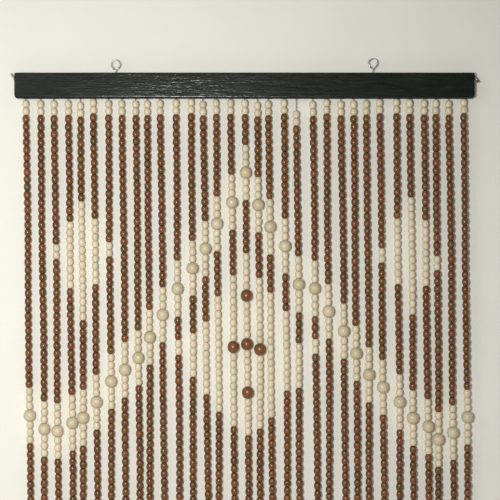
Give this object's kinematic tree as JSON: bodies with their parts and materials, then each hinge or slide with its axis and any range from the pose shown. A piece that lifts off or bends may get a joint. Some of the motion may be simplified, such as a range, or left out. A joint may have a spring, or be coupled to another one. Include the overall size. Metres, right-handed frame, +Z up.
{
  "type": "wooden bead curtain with its header rail",
  "caption": "Doorway curtain of turned wooden beads strung under a painted header rail with screw eyes, in a brown and cream lozenge pattern.",
  "frame": {"origin": "middle of the line on which the two screw eyes rest, at the top of their holes", "axes": "+Z up, +X along the rail to the viewer's right, the curtain faces -Y"},
  "size_m": [0.9193, 0.0228, 1.8415],
  "materials": {
    "rail_paint": "glossy green-black paint brushed on wood",
    "eye_steel": "zinc plated wire",
    "pin_metal": "dull dark nail",
    "bead_brown": "red-brown stain under gloss varnish",
    "bead_cream": "pale wood under satin varnish",
    "thread": "dark twisted thread"
  },
  "bodies": {
    "root": {"rail": "rail_paint", "eye_left": "eye_steel", "eye_right": "eye_steel", "end_pin_left": "pin_metal", "end_pin_right": "pin_metal", "strings": "bead_brown"}
  },
  "joints": []
}
